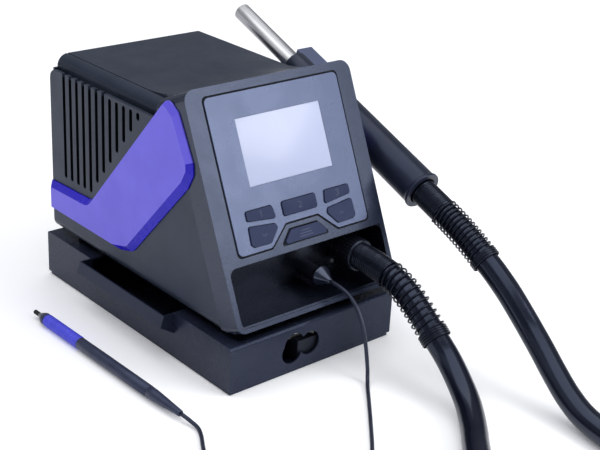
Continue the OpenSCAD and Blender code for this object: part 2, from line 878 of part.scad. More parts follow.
module handle_shell() {
    r = grip_d / 2;
    color("#26272e") turned([
        [11.5, 0], [r + 0.7, 0], [r + 1, 0.5], [r + 1, 1.8], [r + 0.1, 3.6], [r, 7],
        [r, grip_end], [13, 132], [11.1, 132], [11.1, 118], [r - 2.5, 110], [r - 2.5, 2.5],
        [11.5, 2.5]
    ]);
}

module heater_shroud() {
    color("#1b1c22") turned([
        [9.5, 119], [11, 119], [11, shroud_end - 1], [10.5, shroud_end], [7.4, shroud_end],
        [7.4, shroud_end - 2], [9.5, shroud_end - 2]
    ]);
}

module heater_tube() {
    r = tube_d / 2;
    color("#b9b6ae") turned([
        [r - 0.8, 125], [r - 0.2, 125], [r - 0.2, shroud_end + 0.3], [r, shroud_end + 0.3],
        [r, handle_l], [r - 0.8, handle_l]
    ]);
}

module heater_core() {
    color("#d8cfc0") difference() {
        turned([[0, 126], [6.3, 126], [6.3, 132], [5.4, 132], [5.4, 228], [0, 228]]);
        along_handle() for (k = [0:5]) rotate([0, 0, 60 * k]) translate([3.4, 0, 120])
            cylinder(h = 112, r = 1.1);
    }
}

// --- Vacuum side --------------------------------------------------------------------------------

module vacuum_pump() {
    color("#8f9298") rod_y(vac_x, vac_z, -46, -14, 12);
    color("#1b1c20") {
        box([vac_x - 13.5, -66, vac_z - 13], [vac_x + 13.5, -46, vac_z + 13]);
        rod_y(vac_x, vac_z, -74, -65, 1.7);
    }
    color("#77797f") box([vac_x - 10, -62, pan_top], [vac_x + 10, -50, vac_z - 12.5]);
}

module pump_tube() {
    color("#c9cbd0") difference() {
        rod_y(vac_x, vac_z, -86.5, -67, 2.9);
        rod_y(vac_x, vac_z, -88, -66, 1.75);
    }
}

module vacuum_port() {
    color("#111216") difference() {
        union() {
            rod_y(vac_x, vac_z, -107, bay_back, 6);
            rod_y(vac_x, vac_z, bay_back - 0.5, bay_back + 4, 3);
            rod_y(vac_x, vac_z, bay_back + bay_wall, bay_back + bay_wall + 2, 6.5);
            rod_y(vac_x, vac_z, bay_back + 4, -79, 1.7);
        }
        rod_y(vac_x, vac_z, -108, -78, 0.9);
    }
}

module vacuum_plug() {
    color("#3b3d45") translate([vac_x, -107, vac_z]) rotate([90, 0, 0]) rotate_extrude()
        polygon([[0, 0], [5, 0], [5, 3.2], [8.4, 4.2], [8.4, 4.8], [1.9, 15], [0, 15]]);
}

module vacuum_tube() {
    color("#15161d") swept(vacuum_route, vac_d, 8);
}

module vacuum_coil() {
    color("#15161d") translate(coil_at) rotate_extrude() translate([coil_r - coil_band, coil_z[0]])
        square([2 * coil_band, coil_z[1] - coil_z[0]]);
}

module coil_tie() {
    color("#2a2c33") translate(coil_at) rotate([0, 0, 235]) difference() {
        box([coil_r - coil_band - 1, -3, coil_z[0] - 1], [coil_r + coil_band + 1, 3, coil_z[1] + 1]);
        rotate_extrude() translate([coil_r - coil_band, coil_z[0]])
            square([2 * coil_band, coil_z[1] - coil_z[0]]);
    }
}

module pen_tube() {
    color("#15161d") swept(pen_route, vac_d, 8);
}

module pen_nozzle() {
    color("#85888f") along_pen() rotate_extrude() polygon([
        [0.7, 0], [1.8, 0], [1.8, 7], [2.2, 8], [4.1, 12.5], [4.1, 14], [2.6, 14], [2.6, 20],
        [0.7, 20]
    ]);
}

module pen_grip() {
    r = pen_d / 2;
    color("#2f37c8") along_pen() rotate_extrude() polygon(concat(
        [[2.65, 14], [r - 0.9, 14]],
        [for (i = [0:11], k = [0:2]) [r - (k == 2 ? 0.35 : 0), 15.5 + 4 * i + [0, 2.8, 3.4][k]]],
        [[r - 0.3, 64.5], [2.65, 64.5]]
    ));
}

module pen_barrel() {
    r = pen_d / 2;
    color("#2b2d35") along_pen() rotate_extrude() polygon([
        [2.65, 64.5], [r - 0.3, 64.5], [r - 0.3, 153.5], [r - 0.6, 153.9], [r - 0.3, 154.3],
        [r - 0.5, 160], [2.6, pen_l - 1.5], [2.2, pen_l], [1, pen_l], [1, 150], [2.65, 146]
    ]);
}

base_box();
base_plate();
base_screws();
nozzle_rack();
spare_nozzle();
chassis();
case_feet();
foot_screws();
top_cover();
side_panel_left();
side_panel_right();
trim_left();
trim_right();
back_panel();
back_screws();
mains_inlet();
fuse_drawer();
power_switch_frame();
power_rocker();
bezel();
face_plate();
display_window();
display_module();
button_board();
button_one();
button_two();
button_three();
button_down();
button_up();
button_menu();
status_light();
main_board();
transformer();
blower_housing();
blower_impeller();
blower_motor();
air_duct();
hose_port();
hose_nut();
hose_guard_station();
hose();
hose_guard_handle();
cradle();
cradle_liner();
cradle_screws();
handle_shell();
heater_shroud();
heater_tube();
heater_core();
vacuum_pump();
pump_tube();
vacuum_port();
vacuum_plug();
vacuum_tube();
vacuum_coil();
coil_tie();
pen_tube();
pen_nozzle();
pen_grip();
pen_barrel();
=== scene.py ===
"""Looks of the hot air station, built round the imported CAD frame."""
import json
import math

import bpy
from mathutils import Matrix, Vector


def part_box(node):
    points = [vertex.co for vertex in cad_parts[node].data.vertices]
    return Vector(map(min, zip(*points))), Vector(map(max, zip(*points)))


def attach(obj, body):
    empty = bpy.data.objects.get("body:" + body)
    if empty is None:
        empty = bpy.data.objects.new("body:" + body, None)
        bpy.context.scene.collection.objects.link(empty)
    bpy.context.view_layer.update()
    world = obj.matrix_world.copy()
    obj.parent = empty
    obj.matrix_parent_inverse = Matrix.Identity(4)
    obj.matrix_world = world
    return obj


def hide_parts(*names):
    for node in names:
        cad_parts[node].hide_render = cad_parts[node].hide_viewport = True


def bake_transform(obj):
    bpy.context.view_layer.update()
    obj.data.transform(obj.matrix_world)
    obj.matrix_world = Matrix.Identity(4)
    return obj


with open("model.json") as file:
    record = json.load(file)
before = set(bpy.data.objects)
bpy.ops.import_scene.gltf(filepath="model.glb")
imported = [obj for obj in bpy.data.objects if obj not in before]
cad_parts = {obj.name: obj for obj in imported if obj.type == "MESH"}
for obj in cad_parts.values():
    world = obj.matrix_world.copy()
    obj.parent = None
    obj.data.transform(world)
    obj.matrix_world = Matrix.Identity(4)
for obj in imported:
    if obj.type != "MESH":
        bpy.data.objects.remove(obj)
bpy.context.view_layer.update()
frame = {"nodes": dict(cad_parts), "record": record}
PEN_TIP = next(m for m in frame["record"]["mounts"] if m["name"] == "pen_tip")
MM = 0.001


def mm(x, y, z):
    """A point in millimetres, in metres."""
    return Vector((x, y, z)) * MM


# --- Camera --------------------------------------------------------------------------------------

CAMERA_AT = mm(-580.8, -752.0, 487.5)
CAMERA_TURN = math.radians(41.777)
CAMERA_DROP = math.radians(23.587)
CAMERA_ROLL = math.radians(2.97)
LENS_MM = 77.65
SENSOR_MM = 36
NEAREST = 0.01


def add_camera():
    """The camera, from where it stands and how far it turns, looks down and rolls."""
    data = bpy.data.cameras.new("camera")
    data.lens = LENS_MM
    data.sensor_width = SENSOR_MM
    data.clip_start = NEAREST
    turn, drop, roll = CAMERA_TURN, CAMERA_DROP, CAMERA_ROLL
    level = math.cos(drop)
    ahead = Vector((math.sin(turn) * level, math.cos(turn) * level, -math.sin(drop)))
    flat_right = Vector((math.cos(turn), -math.sin(turn), 0))
    flat_up = flat_right.cross(ahead)
    right = flat_right * math.cos(roll) + flat_up * math.sin(roll)
    up = flat_up * math.cos(roll) - flat_right * math.sin(roll)
    camera = bpy.data.objects.new("camera", data)
    aim = Matrix((right, up, -ahead)).transposed().to_4x4()
    camera.matrix_world = Matrix.Translation(CAMERA_AT) @ aim
    bpy.context.scene.collection.objects.link(camera)
    bpy.context.scene.camera = camera


# --- Materials -----------------------------------------------------------------------------------

# Tint of the gloss, and how far the handle's axis leans up from the table
COOL = (0.58, 0.69, 1.0, 1)
HANDLE_TILT = math.radians(21.4)


class Finish:
    """A principled material whose colour, roughness and surface vary with noise in object space."""

    def __init__(self, name, **sockets):
        self.material = bpy.data.materials.new(name)
        self.material.use_nodes = True
        self.tree = self.material.node_tree
        self.shader = self.tree.nodes["Principled BSDF"]
        self.place = self.node("ShaderNodeTexCoord").outputs["Object"]
        self.bump_out = None
        for socket, value in sockets.items():
            self.shader.inputs[socket.replace("_", " ")].default_value = value

    def node(self, kind, **inputs):
        made = self.tree.nodes.new(kind)
        for socket, value in inputs.items():
            made.inputs[socket.replace("_", " ")].default_value = value
        return made

    def link(self, out, socket):
        self.tree.links.new(out, socket)

    def stretched(self, scale, tilt):
        """The place in the object, with y turned to run along a piece tilted up by tilt."""
        turned = self.node("ShaderNodeMapping", Rotation=(-tilt, 0, 0))
        self.link(self.place, turned.inputs["Vector"])
        mapping = self.node("ShaderNodeMapping", Scale=scale)
        self.link(turned.outputs["Vector"], mapping.inputs["Vector"])
        return mapping.outputs["Vector"]

    def noise(self, scale, detail=3.0, stretch=(1, 1, 1), tilt=0.0):
        made = self.node("ShaderNodeTexNoise", Scale=scale, Detail=detail, Roughness=0.55)
        self.link(self.stretched(stretch, tilt), made.inputs["Vector"])
        return made.outputs["Fac"]

    def ramp(self, source, low, high, frm=0.3, to=0.7):
        made = self.node("ShaderNodeMapRange", From_Min=frm, From_Max=to, To_Min=low, To_Max=high)
        self.link(source, made.inputs["Value"])
        return made.outputs["Result"]

    def colour(self, first, second, source, frm=0.35, to=0.65):
        mix = self.tree.nodes.new("ShaderNodeMix")
        mix.data_type = "RGBA"
        mix.inputs[6].default_value = (*first, 1)
        mix.inputs[7].default_value = (*second, 1)
        self.link(self.ramp(source, 0, 1, frm, to), mix.inputs[0])
        self.link(mix.outputs[2], self.shader.inputs["Base Color"])
        return self

    def inside(self, low, high, soft=1.0):
        """1 within a box given in millimetres, fading to 0 over soft millimetres outside it."""
        split = self.node("ShaderNodeSeparateXYZ")
        self.link(self.place, split.inputs[0])
        mask = None
        for axis, a, b in zip("XYZ", low, high):
            for edge, beyond in ((a, a - soft), (b, b + soft)):
                step = self.ramp(split.outputs[axis], 1, 0, edge * MM, beyond * MM)
                if mask:
                    both = self.tree.nodes.new("ShaderNodeMath")
                    both.operation = "MULTIPLY"
                    self.link(mask, both.inputs[0])
                    self.link(step, both.inputs[1])
                    step = both.outputs[0]
                mask = step
        return mask

    def recolour(self, shade, mask):
        """Mixes the colour made so far towards one shade, by a mask."""
        mix = self.tree.nodes.new("ShaderNodeMix")
        mix.data_type = "RGBA"
        mix.inputs[7].default_value = (*shade, 1)
        self.link(self.shader.inputs["Base Color"].links[0].from_socket, mix.inputs[6])
        self.link(mask, mix.inputs[0])
        self.link(mix.outputs[2], self.shader.inputs["Base Color"])
        return self

    def roughness(self, low, high, source):
        self.link(self.ramp(source, low, high), self.shader.inputs["Roughness"])
        return self

    def bump(self, source, depth, strength=1.0):
        made = self.node("ShaderNodeBump", Strength=strength, Distance=depth)
        self.link(source, made.inputs["Height"])
        if self.bump_out:
            self.link(self.bump_out, made.inputs["Normal"])
        self.bump_out = made.outputs["Normal"]
        self.link(self.bump_out, self.shader.inputs["Normal"])
        return self


def case_paint():
    f = Finish("case_paint", Specular_IOR_Level=0.24, Specular_Tint=COOL)
    f.colour((0.0170, 0.0225, 0.0360), (0.0230, 0.0290, 0.0450), f.noise(35, 4))
    f.roughness(0.32, 0.42, f.noise(60, 3))
    return f.bump(f.noise(1900, 2), 0.00004).bump(f.noise(260, 3), 0.00004).material


def side_paint():
    """As the case's paint, with painted shade: nearly black on the vent slots' walls and the
    panel's inner side, where shade falls.
    """
    f = Finish("side_paint", Specular_IOR_Level=0.30, Specular_Tint=COOL)
    f.colour((0.0170, 0.0225, 0.0360), (0.0230, 0.0290, 0.0450), f.noise(35, 4))
    # Painted shade: the slot walls and the panel's inside are coloured nearly black for the shade
    # there
    f.recolour((0.0015, 0.0018, 0.0025), f.inside((-77.0, -100, 95), (77.0, 110, 179), 0.3))
    f.roughness(0.32, 0.42, f.noise(60, 3))
    return f.bump(f.noise(1900, 2), 0.00004).bump(f.noise(260, 3), 0.00004).material


def base_paint():
    """Nearly black on the deck under the case, where hardly any light comes."""
    f = Finish("base_paint", Specular_IOR_Level=0.24, Specular_Tint=COOL)
    f.colour((0.0135, 0.0170, 0.0340), (0.0180, 0.0220, 0.0420), f.noise(28, 4))
    f.recolour((0.0015, 0.0018, 0.0035), f.inside((-67, -118, 30), (74, 125, 60), 4))
    f.roughness(0.22, 0.32, f.noise(45, 3))
    return f.bump(f.noise(1500, 2), 0.00003).bump(f.noise(120, 3), 0.00005).material


def front_plastic():
    """Nearly black inside the connection bay: painted shade in the recess."""
    f = Finish("front_plastic", Specular_IOR_Level=0.5, Specular_Tint=COOL)
    f.colour((0.0105, 0.0135, 0.0270), (0.0135, 0.0170, 0.0330), f.noise(30, 3))
    # Painted shade: the inside of the bay is coloured nearly black for the shade in the recess
    f.recolour((0.0010, 0.0012, 0.0024), f.inside((-72.8, -160, 54.2), (72.8, -88, 93.5), 0.8))
    f.roughness(0.22, 0.30, f.noise(70, 3))
    return f.bump(f.noise(2600, 2), 0.00002).material


# Lighter than the other dark plastics: painted reflection, for the light the cradle's wall catches
def cradle_plastic():
    f = Finish("cradle_plastic", Specular_IOR_Level=0.5, Specular_Tint=COOL)
    f.colour((0.0600, 0.0720, 0.1250), (0.0700, 0.0830, 0.1420), f.noise(30, 3))
    f.roughness(0.26, 0.34, f.noise(70, 3))
    return f.bump(f.noise(2600, 2), 0.00002).material


def face_grey():
    f = Finish("face_grey", Specular_IOR_Level=0.6, Specular_Tint=COOL)
    f.colour((0.062, 0.076, 0.140), (0.072, 0.088, 0.158), f.noise(22, 3))
    f.roughness(0.24, 0.32, f.noise(55, 3))
    return f.bump(f.noise(3200, 2), 0.00001).material


def button_grey():
    f = Finish("button_grey", Specular_IOR_Level=0.10, Specular_Tint=COOL)
    f.colour((0.026, 0.033, 0.070), (0.032, 0.040, 0.082), f.noise(60, 3))
    f.roughness(0.45, 0.55, f.noise(120, 3))
    return f.bump(f.noise(2600, 2), 0.00004).material


# Near black: painted shade for the grooves round the face plate and the menu button
def groove_shade_black():
    f = Finish("groove_shade_black", Specular_IOR_Level=0.15)
    f.colour((0.0025, 0.0030, 0.0050), (0.0045, 0.0050, 0.0080), f.noise(90, 3))
    f.roughness(0.6, 0.75, f.noise(150, 3))
    return f.bump(f.noise(2000, 2), 0.00003).material


# Near-black steel for the spare nozzle: painted shade, for the shade inside the base behind the
# hole in its front
def shaded_steel():
    f = Finish("shaded_steel", Specular_IOR_Level=0.5, Coat_Weight=0.5, Coat_Roughness=0.12)
    f.colour((0.0012, 0.0013, 0.0018), (0.0030, 0.0032, 0.0040), f.noise(120, 3))
    f.roughness(0.16, 0.26, f.noise(260, 3, (1, 6, 1)))
    return f.bump(f.noise(1600, 2, (6, 1, 1)), 0.00001).material


def mark_grey():
    f = Finish("mark_grey", Roughness=0.5, Specular_IOR_Level=0.2)
    f.colour((0.058, 0.068, 0.118), (0.070, 0.082, 0.140), f.noise(700, 2))
    return f.bump(f.noise(3000, 2), 0.00002).material


def display_glass():
    f = Finish("display_glass", Specular_IOR_Level=0.4, Coat_Weight=0.2, Coat_Roughness=0.15)
    f.colour((0.39, 0.43, 0.60), (0.44, 0.48, 0.65), f.noise(9, 2))
    f.roughness(0.32, 0.40, f.noise(40, 2))
    return f.bump(f.noise(2200, 2), 0.00001).material


def trim_purple():
    f = Finish("trim_purple", Specular_IOR_Level=0.4)
    f.colour((0.118, 0.092, 0.69), (0.136, 0.108, 0.75), f.noise(30, 3))
    f.roughness(0.28, 0.36, f.noise(70, 3))
    return f.bump(f.noise(2600, 2), 0.00002).material


# A darker copy of the trim's purple for some of its slopes: painted shade
def trim_shaded_edge():
    f = Finish("trim_shaded_edge", Specular_IOR_Level=0.22)
    f.colour((0.0110, 0.0035, 0.42), (0.0160, 0.0060, 0.52), f.noise(30, 3))
    f.roughness(0.22, 0.30, f.noise(70, 3))
    return f.bump(f.noise(2600, 2), 0.00001).material


def hose_rubber():
    f = Finish("hose_rubber", Specular_IOR_Level=0.5, Specular_Tint=COOL)
    f.colour((0.0030, 0.0036, 0.0080), (0.0055, 0.0064, 0.0125), f.noise(50, 3))
    f.roughness(0.17, 0.25, f.noise(60, 3))
    return f.bump(f.noise(1500, 2), 0.00003).material


def tube_rubber():
    f = Finish("tube_rubber", Specular_IOR_Level=0.4, Specular_Tint=COOL)
    f.colour((0.016, 0.018, 0.030), (0.022, 0.025, 0.040), f.noise(60, 3))
    f.roughness(0.30, 0.42, f.noise(90, 3))
    return f.bump(f.noise(1500, 2), 0.00003).material


def spring_black():
    f = Finish("spring_black", Specular_IOR_Level=0.25, Specular_Tint=COOL)
    f.colour((0.0030, 0.0036, 0.0070), (0.0055, 0.0065, 0.0110), f.noise(160, 3))
    f.roughness(0.16, 0.26, f.noise(300, 3))
    return f.bump(f.noise(2400, 2), 0.00001).material


def nut_black():
    f = Finish("nut_black", Specular_IOR_Level=0.35, Specular_Tint=COOL)
    f.colour((0.0040, 0.0046, 0.0080), (0.0075, 0.0085, 0.0130), f.noise(120, 3))
    f.roughness(0.24, 0.34, f.noise(200, 3))
    return f.bump(f.noise(2200, 2), 0.00003).material


def black_plastic():
    f = Finish("black_plastic", Specular_IOR_Level=0.35, Specular_Tint=COOL)
    f.colour((0.0055, 0.0062, 0.0100), (0.0090, 0.0100, 0.0150), f.noise(50, 3))
    f.roughness(0.42, 0.55, f.noise(90, 3))
    return f.bump(f.noise(2200, 2), 0.00005).material


def black_rubber():
    f = Finish("black_rubber", Specular_IOR_Level=0.35)
    f.colour((0.009, 0.009, 0.010), (0.015, 0.015, 0.016), f.noise(80, 3))
    f.roughness(0.62, 0.78, f.noise(120, 3))
    return f.bump(f.noise(1400, 3), 0.00010).material


def handle_black():
    f = Finish("handle_black", Specular_IOR_Level=0.35, Specular_Tint=COOL)
    f.colour((0.0090, 0.0110, 0.0220), (0.0130, 0.0155, 0.0290), f.noise(40, 3))
    f.roughness(0.28, 0.36, f.noise(70, 3))
    return f.bump(f.noise(2400, 2), 0.00002).material


def heater_steel():
    f = Finish("heater_steel", Metallic=1.0)
    streaks = f.noise(150, 2, (1, 0.01, 1), HANDLE_TILT)
    f.colour((0.20, 0.20, 0.22), (0.72, 0.72, 0.73), streaks, 0.36, 0.60)
    f.roughness(0.34, 0.44, f.noise(240, 3, (1, 0.05, 1), HANDLE_TILT))
    return f.bump(f.noise(1400, 2, (1, 0.03, 1), HANDLE_TILT), 0.000006).material


def plated_steel():
    f = Finish("plated_steel", Metallic=0.9)
    f.colour((0.36, 0.37, 0.39), (0.46, 0.47, 0.48), f.noise(60, 4))
    f.roughness(0.30, 0.46, f.noise(120, 3))
    return f.bump(f.noise(800, 3), 0.00003).material


def black_screws():
    f = Finish("black_screws", Metallic=0.8)
    f.colour((0.020, 0.020, 0.022), (0.040, 0.040, 0.043), f.noise(300, 3))
    f.roughness(0.32, 0.48, f.noise(500, 3))
    return f.bump(f.noise(2600, 2), 0.00002).material


def circuit_board():
    f = Finish("circuit_board", Specular_IOR_Level=0.5)
    f.colour((0.008, 0.070, 0.030), (0.016, 0.120, 0.052), f.noise(260, 5, (1, 4, 1)))
    f.roughness(0.30, 0.45, f.noise(300, 3))
    return f.bump(f.noise(500, 4), 0.00005).material


def transformer_iron():
    f = Finish("transformer_iron", Metallic=0.5)
    f.colour((0.10, 0.09, 0.08), (0.19, 0.17, 0.15), f.noise(400, 3, (1, 0.05, 1)))
    f.roughness(0.40, 0.60, f.noise(150, 3))
    return f.bump(f.noise(1200, 2, (1, 0.02, 1)), 0.00015).material


def rocker_red():
    f = Finish("rocker_red", Specular_IOR_Level=0.5)
    f.colour((0.36, 0.012, 0.012), (0.46, 0.020, 0.018), f.noise(150, 3))
    f.roughness(0.16, 0.26, f.noise(200, 3))
    return f.bump(f.noise(1800, 2), 0.00002).material


def impeller_white():
    f = Finish("impeller_white", Specular_IOR_Level=0.5)
    f.colour((0.62, 0.62, 0.60), (0.72, 0.72, 0.70), f.noise(90, 3))
    f.roughness(0.35, 0.5, f.noise(150, 3))
    return f.bump(f.noise(1500, 2), 0.00003).material


def duct_silicone():
    f = Finish("duct_silicone", Specular_IOR_Level=0.4)
    f.colour((0.28, 0.022, 0.020), (0.38, 0.034, 0.030), f.noise(90, 3))
    f.roughness(0.5, 0.65, f.noise(150, 3))
    return f.bump(f.noise(900, 3), 0.00006).material


def heater_ceramic():
    f = Finish("heater_ceramic", Specular_IOR_Level=0.3)
    f.colour((0.60, 0.55, 0.47), (0.76, 0.71, 0.63), f.noise(180, 4))
    f.roughness(0.7, 0.85, f.noise(200, 3))
    return f.bump(f.noise(900, 4), 0.00008).material


def clear_tube():
    f = Finish("clear_tube", Specular_IOR_Level=0.5)
    f.colour((0.50, 0.52, 0.54), (0.62, 0.64, 0.66), f.noise(120, 3))
    f.roughness(0.25, 0.4, f.noise(150, 3))
    return f.bump(f.noise(1000, 2), 0.00003).material


def plug_grey():
    f = Finish("plug_grey", Specular_IOR_Level=0.9, Specular_Tint=COOL,
               Coat_Weight=0.3, Coat_Roughness=0.1)
    f.colour((0.0060, 0.0075, 0.0150), (0.0100, 0.0120, 0.0220), f.noise(120, 3))
    f.roughness(0.16, 0.24, f.noise(150, 3))
    return f.bump(f.noise(1200, 2), 0.00001).material


def tie_fabric():
    f = Finish("tie_fabric", Specular_IOR_Level=0.2, Sheen_Weight=0.3)
    f.colour((0.012, 0.012, 0.014), (0.030, 0.030, 0.034), f.noise(1600, 2))
    f.roughness(0.8, 0.95, f.noise(800, 3))
    return f.bump(f.noise(1700, 2), 0.00030).material


def pen_metal():
    f = Finish("pen_metal", Metallic=0.85)
    f.colour((0.16, 0.16, 0.18), (0.24, 0.24, 0.26), f.noise(200, 3))
    f.roughness(0.28, 0.42, f.noise(400, 3, (1, 5, 1)))
    return f.bump(f.noise(1800, 2, (1, 6, 1)), 0.00002).material


def pen_blue():
    f = Finish("pen_blue", Specular_IOR_Level=0.35)
    f.colour((0.060, 0.064, 0.60), (0.075, 0.080, 0.70), f.noise(120, 3))
    f.roughness(0.42, 0.55, f.noise(200, 3))
    return f.bump(f.noise(1700, 2), 0.00005).material


def pen_black():
    f = Finish("pen_black", Specular_IOR_Level=0.4, Specular_Tint=COOL)
    f.colour((0.0260, 0.0300, 0.0560), (0.0330, 0.0380, 0.0680), f.noise(90, 3))
    f.roughness(0.34, 0.46, f.noise(150, 3))
    return f.bump(f.noise(2300, 2), 0.00003).material


def light_white():
    f = Finish("light_white", Specular_IOR_Level=0.5)
    f.colour((0.22, 0.23, 0.26), (0.40, 0.42, 0.46), f.noise(300, 2))
    f.roughness(0.2, 0.3, f.noise(300, 2))
    return f.bump(f.noise(900, 2), 0.00001).material


FINISHES = {
    make.__name__: make()
    for make in (
        case_paint, side_paint, base_paint, front_plastic, cradle_plastic, face_grey, button_grey,
        groove_shade_black, shaded_steel, mark_grey, display_glass, trim_purple, trim_shaded_edge, hose_rubber,
        tube_rubber, spring_black, nut_black, black_plastic, black_rubber, handle_black,
        heater_steel, plated_steel, black_screws, circuit_board, transformer_iron, rocker_red,
        impeller_white, duct_silicone, heater_ceramic, clear_tube, plug_grey, tie_fabric,
        pen_metal, pen_blue, pen_black, light_white,
    )
}

NODE_FINISH = {
    "base_box": "base_paint", "base_plate": "base_paint", "top_cover": "case_paint",
    "side_panel_left": "side_paint", "side_panel_right": "side_paint", "back_panel": "case_paint",
    "cradle": "cradle_plastic", "chassis": "plated_steel", "base_screws": "black_screws",
    "foot_screws": "black_screws", "back_screws": "black_screws", "cradle_screws": "black_screws",
    "nozzle_rack": "black_plastic", "case_feet": "black_rubber", "cradle_liner": "black_rubber",
    "spare_nozzle": "shaded_steel", "bezel": "front_plastic", "face_plate": "face_grey",
    "display_window": "display_glass", "display_module": "plated_steel",
    "button_board": "circuit_board", "main_board": "circuit_board",
    "transformer": "transformer_iron", "mains_inlet": "black_plastic",
    "fuse_drawer": "black_plastic", "power_switch_frame": "black_plastic",
    "power_rocker": "rocker_red", "status_light": "light_white",
    "blower_housing": "black_plastic", "blower_impeller": "impeller_white",
    "blower_motor": "plated_steel", "air_duct": "duct_silicone", "hose_port": "plated_steel",
    "handle_shell": "handle_black", "heater_shroud": "handle_black",
    "heater_tube": "heater_steel", "heater_core": "heater_ceramic",
    "vacuum_pump": "plated_steel", "pump_tube": "clear_tube", "vacuum_port": "black_plastic",
    "button_one": "button_grey", "button_two": "button_grey", "button_three": "button_grey",
    "button_down": "button_grey", "button_up": "button_grey", "button_menu": "button_grey",
}

# Radius of the edges of each CAD piece that gets rounded ones, in millimetres
EDGE = {
    "base_box": 1.1, "top_cover": 0.3, "side_panel_left": 0.35, "side_panel_right": 0.35,
    "bezel": 1.2, "face_plate": 0.2, "cradle": 0.5, "heater_tube": 0.15, "back_panel": 0.2,
    "mains_inlet": 0.3, "power_switch_frame": 0.3, "power_rocker": 0.4, "spare_nozzle": 0.2,
    "button_one": 0.3, "button_two": 0.3, "button_three": 0.3, "button_down": 0.3,
    "button_up": 0.3, "button_menu": 0.3, "handle_shell": 0.3, "heater_shroud": 0.2,
    "display_window": 0.1, "fuse_drawer": 0.2, "base_plate": 0.3,
}


def paint(piece, *names):
    piece.data.materials.clear()
    for name in names:
        piece.data.materials.append(FINISHES[name])


EDGE_SEGMENTS = 2
WELD_MM = 0.005


def soften(piece, width_mm):
    """Rounds a CAD piece's sharp edges, after its triangles are joined into flat faces."""
    weld = piece.modifiers.new("weld", "WELD")
    weld.merge_threshold = WELD_MM * MM
    flat = piece.modifiers.new("flat", "DECIMATE")
    flat.decimate_type = "DISSOLVE"
    flat.angle_limit = math.radians(0.6)
    round_off = piece.modifiers.new("round", "BEVEL")
    round_off.width = width_mm * MM
    round_off.segments = EDGE_SEGMENTS
    round_off.limit_method = "ANGLE"
    round_off.angle_limit = math.radians(35)
    round_off.use_clamp_overlap = True
    round_off.harden_normals = True


def finish_cad_nodes():
    """Materials, and rounded edges where they show, for the CAD pieces that are kept."""
    for name, finish in NODE_FINISH.items():
        piece = frame["nodes"][name]
        paint(piece, finish)
        if name in EDGE:
            soften(piece, EDGE[name])


# --- Mesh helpers --------------------------------------------------------------------------------


def new_piece(name, points, faces, finishes, slots=None, smooth=True):
    """A mesh object; slots gives the index of each face's finish."""
    mesh = bpy.data.meshes.new(name)
    mesh.from_pydata([tuple(p) for p in points], [], faces)
    mesh.validate()
    piece = bpy.data.objects.new(name, mesh)
    bpy.context.scene.collection.objects.link(piece)
    paint(piece, *finishes)
    mesh.polygons.foreach_set("use_smooth", [smooth] * len(mesh.polygons))
    if slots is not None:
        mesh.polygons.foreach_set("material_index", slots)
    mesh.update()
    return piece


def smooth_route(points, step):
    """Points about step apart along a smooth curve through the given ones."""
    p = [Vector(q) for q in points]
    p = [2 * p[0] - p[1]] + p + [2 * p[-1] - p[-2]]
    out = []
    for a, b, c, d in zip(p, p[1:], p[2:], p[3:]):
        count = max(1, round((c - b).length / step))
        for i in range(count):
            t = i / count
            out.append(0.5 * (
                2 * b + (c - a) * t + (2 * a - 5 * b + 4 * c - d) * t**2
                + (3 * b - a - 3 * c + d) * t**3
            ))
    return out + [p[-2]]


def laid(route, radius):
    """The route with no point nearer the table than the radius."""
    return [Vector((p.x, p.y, max(p.z, radius))) for p in route]


def frames_along(route):
    """(point, side, up) at each point, turning as little as it can."""
    ways = [
        (route[min(i + 1, len(route) - 1)] - route[max(i - 1, 0)]).normalized()
        for i in range(len(route))
    ]
    side = ways[0].orthogonal().normalized()
    out = []
    for point, way in zip(route, ways):
        side = (side - way * side.dot(way)).normalized()
        out.append((point, side, way.cross(side)))
    return out


def tube(route, radius, sides, closed_ends=True):
    """(points, faces) of a tube; radius is a number or a function of the distance along it."""
    points, faces = [], []
    along = 0.0
    for i, (centre, side, up) in enumerate(frames_along(route)):
        if i:
            along += (route[i] - route[i - 1]).length
        r = radius(along) if callable(radius) else radius
        for k in range(sides):
            a = 2 * math.pi * k / sides
            points.append(centre + r * (side * math.cos(a) + up * math.sin(a)))
    for i in range(len(route) - 1):
        for k in range(sides):
            a, b = i * sides + k, i * sides + (k + 1) % sides
            faces.append((a, b, b + sides, a + sides))
    if closed_ends:
        faces.append(tuple(reversed(range(sides))))
        faces.append(tuple(range(len(points) - sides, len(points))))
    return points, faces


def joined(*parts):
    """One (points, faces) from several."""
    points, faces = [], []
    for more_points, more_faces in parts:
        shift = len(points)
        points += more_points
        faces += [tuple(k + shift for k in face) for face in more_faces]
    return points, faces


def lathe(profile, base, way, sides):
    """(points, faces) of a profile of (distance along, radius) in millimetres, turned about way.

    The ends are closed by flat faces.
    """
    way = Vector(way).normalized()
    side = way.orthogonal().normalized()
    up = way.cross(side)
    points, faces = [], []
    for s, r in profile:
        for k in range(sides):
            a = 2 * math.pi * k / sides
            points.append(base + way * s * MM + (side * math.cos(a) + up * math.sin(a)) * r * MM)
    for i in range(len(profile) - 1):
        for k in range(sides):
            a, b = i * sides + k, i * sides + (k + 1) % sides
            faces.append((a, b, b + sides, a + sides))
    faces.append(tuple(reversed(range(sides))))
    faces.append(tuple(range(len(points) - sides, len(points))))
    return points, faces


def length_of(route):
    return sum((b - a).length for a, b in zip(route, route[1:]))


# --- Hose ----------------------------------------------------------------------------------------

HOSE_R = 9.5 * MM
